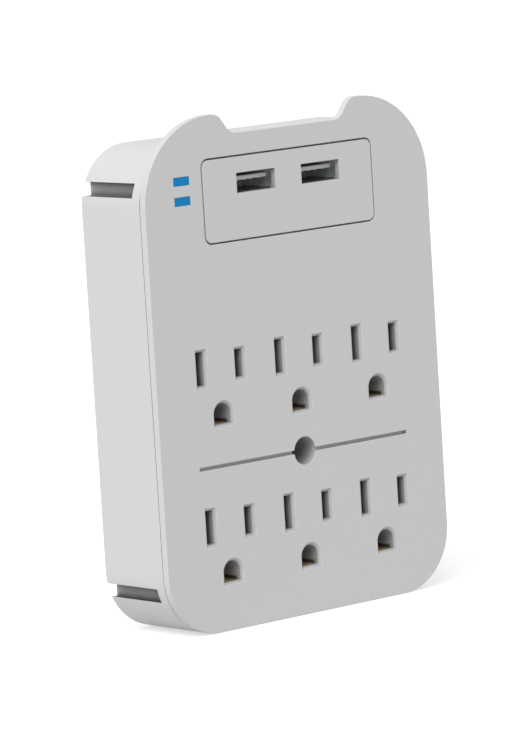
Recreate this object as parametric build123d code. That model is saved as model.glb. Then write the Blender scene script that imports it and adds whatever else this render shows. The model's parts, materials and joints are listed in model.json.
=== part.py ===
from build123d import *

import os
from math import cos, radians, tan

# Plug-in surge protector: six outlets and two USB-A charging ports on a moulded case that plugs into a
# duplex wall receptacle and is held there by one long screw through its middle.
#
# Millimetres. X runs to the right as seen from the front, Y runs from the front into the wall, +Z is up.
# The origin is on the mounting screw's axis, where the back of the case meets the wall plate.

# ---------------------------------------------------------------- case
CASE_WIDTH = 94.4
CASE_DEPTH = 24.4
CASE_BOTTOM = -41.4         # lowest edge, below the screw's axis
LEDGE_Z = 80.6              # flat top of the case, where a phone stands
LIP_Z = 81.9                # face plate's edge between the two ears
EAR_Z = 87.1                # top of the ears
EAR_INNER_X = 20.1          # middle of the ear's inner slope
EAR_SLOPE = 52.0            # degrees from level
EAR_SLOPE_RADIUS = 3.5
EAR_RADIUS = 22.0
LEDGE_RADIUS = 15.0
BOTTOM_RADIUS = 16.0
WALL = 2.2
BACK_WALL = 2.0
FACE_PLATE = 2.0
SEAM_CHAMFER = 0.2
MOULD_GAP = 0.15            # between mouldings that slide into each other

NOTCH_HEIGHT = 3.5
NOTCH_DEPTH = 3.2
NOTCH_WALL = 1.5
NOTCH_SETBACK = 5.1         # from the face to the front end of a side notch
NOTCH_CENTRES_Z = (70.35, -30.3)

RIM_DEPTH = 1.4
RIM_WALL = 1.2

# ---------------------------------------------------------------- outlets (15 A, three slots)
COLUMN_PITCH = 26.0
ROW_PITCH = 39.6
ROW_OFFSET = 4.96           # middle of the two rows, above the screw
SLOT_OFFSET = 6.35          # from a column's centre to either blade slot
SLOT_WIDTH = 2.3
HOT_SLOT_HEIGHT = 7.0
NEUTRAL_SLOT_HEIGHT = 8.5
EARTH_DROP = 11.87          # from the blade slots' centre line down to the earth hole's centre
EARTH_HOLE_RADIUS = 2.68
EARTH_HOLE_FLAT = 2.56      # from the hole's centre down to its flat
LEAD_IN = 0.7               # 45 degree funnel round each slot
COLLAR_WALL = 1.1
COLLAR_DEPTH = 1.6
EARTH_COLLAR_DEPTH = 5.0    # open below, where the earth clip's long leaf runs

GROOVE_LENGTH = 69.7
GROOVE_WIDTH = 0.9
GROOVE_DEPTH = 1.0

# ---------------------------------------------------------------- USB panel and ports
PANEL_WIDTH = 56.1
PANEL_HEIGHT = 20.5
PANEL_Z = 65.7
PANEL_RADIUS = 1.8
PANEL_GAP = 0.45
PANEL_OVERLAP = 0.5         # how far the panel's flange reaches past its opening
PANEL_FLANGE = 1.0
PORT_X = 10.75
PORT_Z = 69.38
PORT_MOUTH_WIDTH = 12.75
PORT_MOUTH_HEIGHT = 5.0
PORT_MOUTH_DEPTH = 1.6
MOUTH_LIP = (0.175, 0.35)   # how far a mouth covers its shell's edge, at the sides and above and below
SHELL_WALL = 0.3
SHELL_CORNER = 0.6
TONGUE_WIDTH = 11.1
TONGUE_THICKNESS = 0.93
TONGUE_RISE = 0.93          # middle of the tongue, above the port's centre
TONGUE_SETBACK = 2.5        # from the face to the tongue's front edge
PORT_BLOCK_DEPTH = 3.2
CONTACT_WIDTH = 1.0
CONTACT_OFFSETS = (-3.5, -1.0, 1.0, 3.5)
CONTACT_SHEET = 0.25
CONTACT_BOW = 0.3
CONTACT_SETBACK = 0.8       # from the tongue's front edge
CONTACT_BEND = 3.0          # and from there to the strip's highest point

# ---------------------------------------------------------------- indicators
LENS_FROM_SIDE = 12.2       # from the case's side to the windows' centre
LENS_CENTRES_Z = (71.65, 66.7)
LENS_WIDTH = 5.0
LENS_HEIGHT = 2.1
LENS_GAP = 0.05
LENS_SHOULDER = 0.5
LENS_SHOULDER_DEPTH = 1.0
LENS_STEM = (3.0, 1.8)
LENS_TO_LAMP = 0.3
LED_RADIUS = 1.5
LED_HEIGHT = 4.6

# ---------------------------------------------------------------- mounting screw (number 6, 32 threads an inch)
SCREW_RADIUS = 1.75
SCREW_LENGTH = 20.0         # under the head
SCREW_HEAD_RADIUS = 3.45
SCREW_HEAD_HEIGHT = 2.6
SCREW_CHAMFER = 0.6
SCREW_SLOT_WIDTH = 1.0
SCREW_SLOT_DEPTH = 1.2
SCREW_SEAT_Y = -8.0         # where the head's underside rests
SCREW_TRAVEL = 4.4
SHANK_RADIUS = 1.35         # the plain shank between the head and the thread
WELL_GAP = 0.1              # round the head
WELL_WALL = 1.15
NECK_GAP = 0.15             # round the thread as it is put through
NECK_LENGTH = 1.5
BOSS_GAP = 1.1              # between the neck and the washer's well, less than the washer's thickness
WASHER_THICKNESS = 1.5
WASHER_RADIUS = 3.75
WASHER_FIT = 0.05           # round the shank, and to the thread's shoulder
WASHER_SHAKE = 0.05         # left over at the end of the screw's travel
WASHER_WELL_GAP = 0.05

# ---------------------------------------------------------------- case screws
TOWER = 8.4                 # square screw towers in the housing
TOWER_FRONT = 5.8           # and the slimmer ones on the cover that meet them
TOWER_SPLIT = 0.41          # share of the depth, from the back, where they meet
TOWER_INSET = 0.4           # from a side wall to the tower
TOP_TOWER_DROP = 5.2        # below the USB panel's middle
CASE_SCREW_RADIUS = 1.3
CASE_SCREW_LENGTH = 12.0
CASE_SCREW_SINK = 3.0       # from the back to the head's seat
CASE_SCREW_HEAD_RADIUS = 2.7
CASE_SCREW_HEAD_HEIGHT = 1.8
CASE_SCREW_WELL_GAP = 0.3   # round the head
PILOT_GAP = 0.05            # between the shank and the flats of the square pilot hole it cuts into
PILOT_DEPTH = 8.0
CLEARANCE_GAP = 0.3         # and of the square core hole it passes through

# ---------------------------------------------------------------- contacts and bars
STRIP = 0.8                 # sheet brass
INSULATOR = 1.6
INSULATOR_MARGIN = 1.4
INSULATOR_RIB = (1.2, 6.0)  # thickness and height of the ribs between the columns
INSULATOR_GAP = 0.3         # round whatever passes through
CLIP_SHEET = 0.5
CLIP_HEIGHT = 7.0
CLIP_BASE = 1.7             # half gaps between the leaves of a blade clip
CLIP_PINCH = 0.55
CLIP_MOUTH = 1.9
CLIP_FROM_FACE = 4.6        # from the face to the leaves' front edges
EARTH_CLIP_WIDTH = 5.0
EARTH_CLIP_BASE = 2.6       # half gaps between the leaves over and under an earth pin
EARTH_CLIP_PINCH = 2.1
EARTH_CLIP_MOUTH = 3.0
EARTH_LEAF_PINCH = 2.42     # under the pin
EARTH_LEAF_MOUTH = 2.45
EARTH_LEAF_GAP = 0.5        # from the leaves' front edges to the face plate and to the collar
PINCH_SHARE = 0.62          # share of a leaf's length, from its base, where it pinches
PAD_WIDTH = 5.2
PAD_HEIGHT = 8.4
LINK_WIDTH = 3.6
LINK_SHIFT = 1.2            # the links between rows lie outboard of the slots, clear of the screw's tube
COMB_WIDTH = 3.4
COMB_GAP = 2.0              # from a pad to its comb's bar
NEUTRAL_COMB_GAP = 0.4
EARTH_STRIP_WIDTH = 6.4
EARTH_STRIP_END = 2.0       # past the outer clips
EARTH_RISER_OUT = 8.0       # from there to the riser's centre line
RISER_TOP = 34.5            # top of the solder tabs of the neutral and earth bars
RISER_WIDTH = 4.0

# ---------------------------------------------------------------- plug blades (two plugs, one receptacle each)
PLUG_PITCH = 38.9
PLUG_OFFSET = 5.0           # middle of the two plugs' blades, above the screw
BLADE_THICKNESS = 1.5
HOT_BLADE_HEIGHT = 6.35
NEUTRAL_BLADE_HEIGHT = 7.9
BLADE_REACH = 17.6
BLADE_TIP = 1.8
BLADE_TIP_SHARE = 0.5       # a blade's thickness at its end
EARTH_PIN_RADIUS = 2.38
EARTH_PIN_REACH = 20.8
EARTH_PIN_ROOT = 0.4        # the collar in the back wall stands out this far round the pin
PLUG_EARTH_DROP = 11.9
TENON_HEIGHT = 3.0
PIN_TENON = 2.4             # side of the square tenon that rivets an earth pin to its bar
BLADE_GAP = 0.1
TENON_GAP = 0.05

# ---------------------------------------------------------------- circuit boards
BOARD = 1.6
USB_BOARD_BOTTOM = 55.0
USB_BOARD_TOP = 76.5
USB_BOARD_MARGIN = 9.8      # from the case's side to the board's edge
USB_BOARD_CORNER = 2.0
USB_BOARD_Y = -9.4          # its front side
SURGE_BOARD_BOTTOM = 37.0
SURGE_BOARD_TOP = 53.6
SURGE_BOARD_MARGIN = 9.4
SURGE_BOARD_Y = -5.0
POST = 4.2                  # square board posts
POST_PIN = 1.8              # and the square pins on them that the boards drop over
POST_PIN_LENGTH = 0.8
POST_GAP = 0.1
BOARD_CLEARANCE = 0.6

VARISTOR_RADIUS = 7.0
VARISTOR_THICKNESS = 4.6
VARISTOR_STANDOFF = 1.4
VARISTOR_PITCH = 7.5
VARISTOR_MIDDLE_X = -4.6
ROUND_SIDES = 16            # sides of the prisms that stand for round components
LEAD = 0.7                  # flat component leads
LEAD_SPREAD = 7.5
FUSE_X = -17.6
FUSE_RADIUS = 2.0
FUSE_LENGTH = 7.0
FUSE_STANDOFF = 5.0
FUSE_LEAD_REACH = 1.6
FILM_CAPACITOR = (18.0, 11.5, 13.6)
FILM_CAPACITOR_X = 21.2
CORE_WIDTH = 13.6
CORE_LENGTH = 11.4
CORE_STACK = 6.6
CORE_LEG = 4.4
CORE_YOKE = 2.1
COIL_PROUD = 2.2
COIL_GAP = 0.15
COIL_CORNER = 1.6
TRANSFORMER_X = 28.4
TRANSFORMER_Z = 67.4
INPUT_CAN_RADIUS = 4.0
INPUT_CAN_LENGTH = 11.0
INPUT_CAN_XZ = (-24.4, 63.6)
OUTPUT_CAN_RADIUS = 3.15
OUTPUT_CAN_LENGTH = 8.6
OUTPUT_CAN_XZ = ((-6.0, 60.2), (2.0, 60.2))
CHIP_XZ = (-26.0, 71.6)
CHIP_SIZE = (4.0, 1.4, 5.0)
CHIP_STANDOFF = 0.15
CHIP_LEG = (0.9, 0.42)
CHIP_PITCH = 1.27
WIRE_RADIUS = 0.8
WIRE_SIDES = 8
WIRE_BEND = 1.5
WIRE_STANDOFF = 4.4
WIRE_START = 2.2            # from the earth riser's top down to the wire
WIRE_RUN = (4.6, 12.2)
STRAP_WIDTH = 3.0
STRAP_FOOT = 2.0
STRAP_ARCH = 1.6            # the arch in front of the bars
STRAP_TO_BOARD = 3.4        # from the surge board's lower edge to a strap's foot
STRAP_INSET = 1.0
SUPPLY_PIN = 0.8
SUPPLY_PINS_X = (31.4, 34.4)
SUPPLY_ARCH = 2.6           # the pins in front of the charger's board
SUPPLY_FROM, SUPPLY_TO = 5.0, 3.2

# ---------------------------------------------------------------- places worked out from the sizes
HALF_WIDTH = CASE_WIDTH / 2
FACE_Y = -CASE_DEPTH
SEAM_Y = FACE_Y + FACE_PLATE
INNER_BACK_Y = -BACK_WALL
INSULATOR_Y = INNER_BACK_Y - STRIP          # its back
BUS_Y = INSULATOR_Y - INSULATOR             # the live bars' back
BUS_FRONT_Y = BUS_Y - STRIP
CLIP_TIP_Y = FACE_Y + CLIP_FROM_FACE
SPLIT_Y = -TOWER_SPLIT * CASE_DEPTH
WELL_RADIUS = SCREW_HEAD_RADIUS + WELL_GAP
TUBE_RADIUS = WELL_RADIUS + WELL_WALL
NECK_RADIUS = SCREW_RADIUS + NECK_GAP
NECK_BACK_Y = SCREW_SEAT_Y + NECK_LENGTH
BOSS_FRONT_Y = NECK_BACK_Y + BOSS_GAP
WASHER_Y = NECK_BACK_Y + SCREW_TRAVEL + WASHER_SHAKE        # its front
THREAD_Y = WASHER_Y + WASHER_THICKNESS + WASHER_FIT         # where the thread starts
WASHER_BORE = SHANK_RADIUS + WASHER_FIT
WASHER_WELL_RADIUS = WASHER_RADIUS + WASHER_WELL_GAP
PILOT = 2 * (CASE_SCREW_RADIUS + PILOT_GAP)
CLEARANCE = 2 * (CASE_SCREW_RADIUS + CLEARANCE_GAP)
CASE_SCREW_WELL_RADIUS = CASE_SCREW_HEAD_RADIUS + CASE_SCREW_WELL_GAP
SHELL_WIDTH = PORT_MOUTH_WIDTH + 2 * MOUTH_LIP[0]
SHELL_HEIGHT = PORT_MOUTH_HEIGHT + 2 * MOUTH_LIP[1]
COLUMNS = (-COLUMN_PITCH, 0.0, COLUMN_PITCH)
ROWS = (ROW_OFFSET + ROW_PITCH / 2, ROW_OFFSET - ROW_PITCH / 2)
EARTH_ROWS = tuple(z - EARTH_DROP for z in ROWS)
PLUG_ROWS = (PLUG_OFFSET + PLUG_PITCH / 2, PLUG_OFFSET - PLUG_PITCH / 2)
PLUG_EARTH_ROWS = tuple(z - PLUG_EARTH_DROP for z in PLUG_ROWS)
LENS_X = LENS_FROM_SIDE - HALF_WIDTH
CORNER_INSET = (1 - cos(radians(45))) * (BOTTOM_RADIUS - WALL) + TOWER / 2 + WALL + TOWER_INSET
BOTTOM_TOWER = (HALF_WIDTH - CORNER_INSET, CASE_BOTTOM + CORNER_INSET)
TOP_TOWER = (HALF_WIDTH - WALL - TOWER / 2 - TOWER_INSET, PANEL_Z - TOP_TOWER_DROP)
TOWERS = [(side * x, z) for x, z in (BOTTOM_TOWER, TOP_TOWER) for side in (-1, 1)]
USB_POSTS = [(side * x, z) for x, z in ((26.4, 57.4), (20.5, 74.4)) for side in (-1, 1)]
SURGE_POSTS = [(-34.0, 51.0), (9.0, 39.3), (9.0, 51.3), (34.0, 39.5)]
PORTS = (-PORT_X, PORT_X)
HOT, NEUTRAL = 1, -1        # a net's side of each column


# ---------------------------------------------------------------- helpers
def slab(profile, front_y, back_y):
    """A profile drawn in X and Z, as a slab from front_y to back_y."""
    return extrude(Plane.XZ.offset(-back_y) * profile, back_y - front_y)


def rod(radius, x, z, front_y, back_y):
    """A round bar along Y."""
    return slab(Pos(x, z) * Circle(radius), front_y, back_y)


def plate(width, height, x, z, front_y, back_y):
    """A rectangular block, given by its middle in X and Z."""
    return slab(Pos(x, z) * Rectangle(width, height), front_y, back_y)


def between(x_low, x_high, z_low, z_high, front_y, back_y):
    """A rectangular block, given by its edges in X and Z."""
    middle = Pos((x_low + x_high) / 2, (z_low + z_high) / 2)
    return slab(middle * Rectangle(x_high - x_low, z_high - z_low), front_y, back_y)


def rounded(width, height, radius, x=0.0, z=0.0):
    return Pos(x, z) * RectangleRounded(width, height, radius)


def clipped(width, height, corner, x=0.0, z=0.0):
    """A rectangle with its corners cut off."""
    outline = Rectangle(width, height)
    return Pos(x, z) * chamfer(outline.vertices(), corner)


def bent_strip(points, width, thickness, x):
    """A strip of sheet bent along a line through points (Y, Z), its width along X."""
    path = Polyline(*[(x, y, z) for y, z in points])
    start = Plane(origin=path @ 0, x_dir=(1, 0, 0), z_dir=path % 0)
    return sweep(start * Rectangle(width, thickness), path, transition=Transition.RIGHT)


def case_outline(inset=0.0):
    """The case behind the face plate: two large corners below, two on the ledge."""
    x, low, high = HALF_WIDTH - inset, CASE_BOTTOM + inset, LEDGE_Z - inset
    bottom, ledge = BOTTOM_RADIUS - inset, LEDGE_RADIUS - inset
    path = FilletPolyline(
        (-x, low), (x, low), (x, high), (-x, high), radius=(bottom, bottom, ledge, ledge), close=True
    )
    return make_face(path)


def face_outline():
    """The face plate: the case's outline with two ears that stand above the ledge."""
    x = HALF_WIDTH
    half_run = (EAR_Z - LIP_Z) / tan(radians(EAR_SLOPE)) / 2
    crest, foot = EAR_INNER_X + half_run, EAR_INNER_X - half_run
    slope = EAR_SLOPE_RADIUS
    path = FilletPolyline(
        (-x, CASE_BOTTOM), (x, CASE_BOTTOM), (x, EAR_Z), (crest, EAR_Z),
        (foot, LIP_Z), (-foot, LIP_Z), (-crest, EAR_Z), (-x, EAR_Z),
        radius=(BOTTOM_RADIUS, BOTTOM_RADIUS, EAR_RADIUS, slope, slope, slope, slope, EAR_RADIUS),
        close=True,
    )
    return make_face(path)


def slots():
    """Every blade slot: its middle and its height."""
    for x in COLUMNS:
        for z in ROWS:
            yield x + HOT * SLOT_OFFSET, z, HOT_SLOT_HEIGHT
            yield x + NEUTRAL * SLOT_OFFSET, z, NEUTRAL_SLOT_HEIGHT


def earth_holes():
    """Every earth hole's centre."""
    for x in COLUMNS:
        for z in EARTH_ROWS:
            yield x, z


def earth_outline(grow=0.0):
    """An arched hole with a flat below."""
    r, flat = EARTH_HOLE_RADIUS + grow, EARTH_HOLE_FLAT + grow
    sides = [Line((r, 0), (r, -flat)), Line((r, -flat), (-r, -flat)), Line((-r, -flat), (-r, 0))]
    return make_face([ThreePointArc((-r, 0), (0, r), (r, 0)), *sides])


def lead_in(mouth):
    """The funnel that narrows from the mouth on the face, at 45 degrees."""
    return extrude(Plane.XZ.offset(-FACE_Y) * mouth, -LEAD_IN, taper=45)


# ---------------------------------------------------------------- mouldings
def front_cover():
    """Face plate with its ears, and behind it the rim, the socket collars, the screw towers and the screw's tube,
    with the neck at its end that the screw's head seats on."""
    cover = slab(face_outline(), FACE_Y, SEAM_Y)
    outer = WALL + MOULD_GAP
    rim = slab(case_outline(outer), SEAM_Y, SEAM_Y + RIM_DEPTH)
    cover += rim - slab(case_outline(outer + RIM_WALL), SEAM_Y, SEAM_Y + RIM_DEPTH)
    cover += rod(TUBE_RADIUS, 0, 0, SEAM_Y, NECK_BACK_Y)
    cover += [plate(TOWER_FRONT, TOWER_FRONT, x, z, SEAM_Y, SPLIT_Y) for x, z in TOWERS]

    wall = 2 * COLLAR_WALL
    collar_end = SEAM_Y + COLLAR_DEPTH
    for x, z, height in slots():
        cover += plate(SLOT_WIDTH + wall, height + wall, x, z, SEAM_Y, collar_end)
    earth_end, r = SEAM_Y + EARTH_COLLAR_DEPTH, EARTH_HOLE_RADIUS
    for x, z in earth_holes():
        out = r + COLLAR_WALL
        cover += between(x - out, x + out, z - EARTH_HOLE_FLAT - COLLAR_WALL, z + out, SEAM_Y, earth_end)

    cuts = []
    for x, z, height in slots():
        cuts.append(plate(SLOT_WIDTH, height, x, z, FACE_Y, collar_end))
        cuts.append(lead_in(Pos(x, z) * Rectangle(SLOT_WIDTH + 2 * LEAD_IN, height + 2 * LEAD_IN)))
    for x, z in earth_holes():
        cuts.append(slab(Pos(x, z) * earth_outline(), FACE_Y, earth_end))
        cuts.append(lead_in(Pos(x, z) * earth_outline(LEAD_IN)))
        cuts.append(between(x - r, x + r, z - EARTH_HOLE_FLAT - COLLAR_WALL, z, SEAM_Y, earth_end))
    gap = 2 * PANEL_GAP
    opening = rounded(PANEL_WIDTH + gap, PANEL_HEIGHT + gap, PANEL_RADIUS + PANEL_GAP, z=PANEL_Z)
    cuts.append(slab(opening, FACE_Y, SEAM_Y))
    flange = gap + 2 * (PANEL_OVERLAP + MOULD_GAP)
    cuts.append(plate(PANEL_WIDTH + flange, PANEL_HEIGHT + flange, 0, PANEL_Z, SEAM_Y, SEAM_Y + RIM_DEPTH))
    cuts += [plate(LENS_WIDTH, LENS_HEIGHT, LENS_X, z, FACE_Y, SEAM_Y) for z in LENS_CENTRES_Z]
    cuts += [plate(PILOT, PILOT, x, z, SPLIT_Y - PILOT_DEPTH, SPLIT_Y) for x, z in TOWERS]
    cuts.append(rod(WELL_RADIUS, 0, 0, FACE_Y, SCREW_SEAT_Y))
    cuts.append(rod(NECK_RADIUS, 0, 0, SCREW_SEAT_Y, NECK_BACK_Y))
    cuts.append(plate(GROOVE_LENGTH, GROOVE_WIDTH, 0, 0, FACE_Y, FACE_Y + GROOVE_DEPTH))
    return cover - cuts


def notch_block(side, z, grow, front_y):
    """The space of one side notch, or with grow the wall round it; side is -1 or 1."""
    inner, outer = HALF_WIDTH - NOTCH_DEPTH - grow, HALF_WIDTH
    low, high = z - NOTCH_HEIGHT / 2 - grow, z + NOTCH_HEIGHT / 2 + grow
    if side > 0:
        return between(inner, outer, low, high, front_y - grow, 0)
    return between(-outer, -inner, low, high, front_y - grow, 0)


def rear_housing():
    """The tub: ledge, side notches, the washer's well, screw towers, board posts and the blades' slots."""
    case = slab(case_outline(), SEAM_Y, 0)
    case = chamfer(case.edges().group_by(Axis.Y)[0], SEAM_CHAMFER)
    hollow = slab(case_outline(WALL), SEAM_Y, INNER_BACK_Y)
    housing = case - hollow

    notch_y = FACE_Y + NOTCH_SETBACK
    notches = [(side, z) for side in (-1, 1) for z in NOTCH_CENTRES_Z]
    for side, z in notches:
        housing += notch_block(side, z, NOTCH_WALL, notch_y) & case
    housing += rod(TUBE_RADIUS, 0, 0, BOSS_FRONT_Y, INNER_BACK_Y)
    housing += [plate(TOWER, TOWER, x, z, SPLIT_Y, INNER_BACK_Y) & case for x, z in TOWERS]
    for posts, board_y in ((USB_POSTS, USB_BOARD_Y), (SURGE_POSTS, SURGE_BOARD_Y)):
        pin_tip = board_y - POST_PIN_LENGTH
        housing += [plate(POST, POST, x, z, board_y + BOARD, INNER_BACK_Y) for x, z in posts]
        housing += [plate(POST_PIN, POST_PIN, x, z, pin_tip, board_y + BOARD) for x, z in posts]

    cuts = [notch_block(side, z, 0, notch_y) for side, z in notches]
    cuts.append(rod(WASHER_WELL_RADIUS, 0, 0, BOSS_FRONT_Y, 0))
    cuts += [rod(CASE_SCREW_WELL_RADIUS, x, z, -CASE_SCREW_SINK, 0) for x, z in TOWERS]
    cuts += [plate(CLEARANCE, CLEARANCE, x, z, SPLIT_Y, -CASE_SCREW_SINK) for x, z in TOWERS]
    for x, z, height in blades():
        width = BLADE_THICKNESS + 2 * BLADE_GAP
        cuts.append(plate(width, height + 2 * BLADE_GAP, x, z, INNER_BACK_Y, 0))
    root = EARTH_PIN_RADIUS + EARTH_PIN_ROOT + BLADE_GAP
    cuts += [rod(root, 0, z, INNER_BACK_Y, 0) for z in PLUG_EARTH_ROWS]
    return housing - cuts


def usb_panel():
    """Face panel with the two port mouths, and a flange that seats behind the cover."""
    flange_y = SEAM_Y + PANEL_FLANGE
    reach = 2 * (PANEL_GAP + PANEL_OVERLAP)
    panel = slab(rounded(PANEL_WIDTH, PANEL_HEIGHT, PANEL_RADIUS, z=PANEL_Z), FACE_Y, SEAM_Y)
    panel += slab(
        rounded(PANEL_WIDTH + reach, PANEL_HEIGHT + reach, PANEL_RADIUS, z=PANEL_Z), SEAM_Y, flange_y
    )
    pocket_y = FACE_Y + PORT_MOUTH_DEPTH
    pocket = SHELL_WIDTH + 2 * MOULD_GAP, SHELL_HEIGHT + 2 * MOULD_GAP
    for x in PORTS:
        panel -= plate(PORT_MOUTH_WIDTH, PORT_MOUTH_HEIGHT, x, PORT_Z, FACE_Y, pocket_y)
        panel -= plate(*pocket, x, PORT_Z, pocket_y, flange_y)
    return panel


def indicator_lens(z):
    """A light pipe: window in the face, shoulder behind it, and a stem that ends before its lamp."""
    shoulder_y = SEAM_Y + LENS_SHOULDER_DEPTH
    lens = plate(LENS_WIDTH - 2 * LENS_GAP, LENS_HEIGHT - 2 * LENS_GAP, LENS_X, z, FACE_Y, SEAM_Y)
    wide, tall = LENS_WIDTH + 2 * LENS_SHOULDER, LENS_HEIGHT + 2 * LENS_SHOULDER
    lens += plate(wide, tall, LENS_X, z, SEAM_Y, shoulder_y)
    return lens + plate(*LENS_STEM, LENS_X, z, shoulder_y, led_tip_y() - LENS_TO_LAMP)


# ---------------------------------------------------------------- contacts
def leaf_pair(x, z, base_y, tip_y, gaps, height):
    """Two sprung leaves that stand forward of base_y, pinch, and flare at the mouth; gaps are half gaps."""
    base, pinch, mouth = gaps
    pinch_y = base_y + PINCH_SHARE * (tip_y - base_y)
    sheet = CLIP_SHEET
    leaves = []
    for side in (-1, 1):
        inner = [(side * base, base_y), (side * pinch, pinch_y), (side * mouth, tip_y)]
        outer = [(offset + side * sheet, y) for offset, y in reversed(inner)]
        leaf = make_face(Polyline(*inner, *outer, close=True))
        leaves.append(Pos(x, 0, z - height / 2) * extrude(leaf, height))
    return leaves


def earth_clip(x, z):
    """A long leaf under the pin, up to the face plate, and a shorter one over it, behind the collar."""
    base_y = INSULATOR_Y
    leaves = []
    for side, tip_y, pinch, mouth in (
        (-1, SEAM_Y + EARTH_LEAF_GAP, EARTH_LEAF_PINCH, EARTH_LEAF_MOUTH),
        (1, SEAM_Y + EARTH_COLLAR_DEPTH + EARTH_LEAF_GAP, EARTH_CLIP_PINCH, EARTH_CLIP_MOUTH),
    ):
        pinch_y = base_y + PINCH_SHARE * (tip_y - base_y)
        inner = [(base_y, side * EARTH_CLIP_BASE), (pinch_y, side * pinch), (tip_y, side * mouth)]
        outer = [(y, offset + side * CLIP_SHEET) for y, offset in reversed(inner)]
        leaf = make_face(Plane.YZ * Polyline(*inner, *outer, close=True))
        leaves.append(Pos(x, 0, z) * extrude(leaf, EARTH_CLIP_WIDTH / 2, both=True))
    return leaves


def live_bus(side, comb_low, comb_high):
    """A flat comb of sheet brass with a clip at each slot; side is HOT or NEUTRAL."""
    xs = [x + side * SLOT_OFFSET for x in COLUMNS]
    half_pad, half_link = PAD_WIDTH / 2, LINK_WIDTH / 2
    comb = between(xs[0] - half_pad, xs[-1] + half_pad, comb_low, comb_high, BUS_FRONT_Y, BUS_Y)
    low, high = min(comb_low, ROWS[1]), max(comb_high, ROWS[0])
    for x in xs:
        link_x = x + side * LINK_SHIFT
        comb += between(link_x - half_link, link_x + half_link, low, high, BUS_FRONT_Y, BUS_Y)
        comb += [plate(PAD_WIDTH, PAD_HEIGHT, x, z, BUS_FRONT_Y, BUS_Y) for z in ROWS]
    gaps = (CLIP_BASE, CLIP_PINCH, CLIP_MOUTH)
    for x in xs:
        for z in ROWS:
            comb += leaf_pair(x, z, BUS_FRONT_Y, CLIP_TIP_Y, gaps, CLIP_HEIGHT)
    hole = BLADE_THICKNESS + 2 * TENON_GAP, TENON_HEIGHT + 2 * TENON_GAP
    comb -= [plate(*hole, side * SLOT_OFFSET, z, BUS_FRONT_Y, BUS_Y) for z in PLUG_ROWS]
    return comb


def hot_bus():
    bar_low = ROWS[0] + PAD_HEIGHT / 2 + COMB_GAP
    return live_bus(HOT, bar_low, bar_low + COMB_WIDTH)


def neutral_bus():
    bar_high = ROWS[1] - PAD_HEIGHT / 2 - NEUTRAL_COMB_GAP
    bus = live_bus(NEUTRAL, bar_high - COMB_WIDTH, bar_high)
    x = COLUMNS[0] + NEUTRAL * SLOT_OFFSET
    half = RISER_WIDTH / 2
    return bus + between(x - half, x + half, ROWS[0], RISER_TOP, BUS_FRONT_Y, BUS_Y)


def ground_bus():
    """A flat ladder of sheet brass on the back wall, with a clip at each earth hole."""
    half = EARTH_STRIP_WIDTH / 2
    end = COLUMN_PITCH + EARTH_CLIP_BASE + EARTH_STRIP_END
    riser = end + EARTH_RISER_OUT
    front_y, back_y = INSULATOR_Y, INNER_BACK_Y
    bus = between(-riser - half, end, EARTH_ROWS[0] - half, EARTH_ROWS[0] + half, front_y, back_y)
    bus += between(-end, end, EARTH_ROWS[1] - half, EARTH_ROWS[1] + half, front_y, back_y)
    for x in (-COLUMN_PITCH / 2, COLUMN_PITCH / 2):
        bus += between(x - half, x + half, EARTH_ROWS[1], EARTH_ROWS[0], front_y, back_y)
    bus += between(-riser - half, -riser + half, EARTH_ROWS[0], RISER_TOP, front_y, back_y)
    for x, z in earth_holes():
        bus += earth_clip(x, z)
    hole = PIN_TENON + 2 * TENON_GAP
    return bus - [plate(hole, hole, 0, z, front_y, back_y) for z in PLUG_EARTH_ROWS]


def bus_insulator():
    """The moulded plate that carries the live bars and keeps them off the earth bar."""
    front_y, back_y = BUS_Y, INSULATOR_Y
    side = COLUMN_PITCH + SLOT_OFFSET + LINK_SHIFT + LINK_WIDTH / 2 + INSULATOR_MARGIN
    low = EARTH_ROWS[1] - EARTH_CLIP_BASE - CLIP_SHEET - INSULATOR_MARGIN
    high = ROWS[0] + PAD_HEIGHT / 2 + COMB_GAP + COMB_WIDTH + INSULATOR_MARGIN
    insulator = between(-side, side, low, high, front_y, back_y)
    rib, rise = INSULATOR_RIB
    for x in (-COLUMN_PITCH / 2, COLUMN_PITCH / 2):
        insulator += between(x - rib / 2, x + rib / 2, *reversed(ROWS), front_y - rise, front_y)
    gap = 2 * INSULATOR_GAP
    window = EARTH_CLIP_WIDTH + gap, 2 * (EARTH_CLIP_BASE + CLIP_SHEET) + gap
    cuts = [plate(*window, x, z, front_y, back_y) for x, z in earth_holes()]
    for x, z, height in blades():
        cuts.append(plate(BLADE_THICKNESS + gap, height + gap, x, z, front_y, back_y))
    cuts.append(rod(TUBE_RADIUS + INSULATOR_GAP, 0, 0, front_y, back_y))
    return insulator - cuts - tower_reliefs(front_y, back_y)


def tower_reliefs(front_y, back_y):
    """What boards and plates leave out round the screw towers."""
    side = TOWER + 2 * BOARD_CLEARANCE
    return [plate(side, side, x, z, front_y, back_y) for x, z in TOWERS]


def blades():
    """Every flat plug blade: its middle and its height."""
    for z in PLUG_ROWS:
        yield HOT * SLOT_OFFSET, z, HOT_BLADE_HEIGHT
        yield NEUTRAL * SLOT_OFFSET, z, NEUTRAL_BLADE_HEIGHT


def plug_blade(x, z, height):
    """A flat blade that ends in a blunt wedge, staked through its bar."""
    shoulder_y = BLADE_REACH - BLADE_TIP
    root = Plane.XZ.offset(-shoulder_y) * (Pos(x, z) * Rectangle(BLADE_THICKNESS, height))
    tip_size = BLADE_TIP_SHARE * BLADE_THICKNESS, height - BLADE_TIP
    end = Plane.XZ.offset(-BLADE_REACH) * (Pos(x, z) * Rectangle(*tip_size))
    blade = plate(BLADE_THICKNESS, height, x, z, BUS_Y, shoulder_y) + loft([root, end])
    return blade + plate(BLADE_THICKNESS, TENON_HEIGHT, x, z, BUS_FRONT_Y, BUS_Y)


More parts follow.
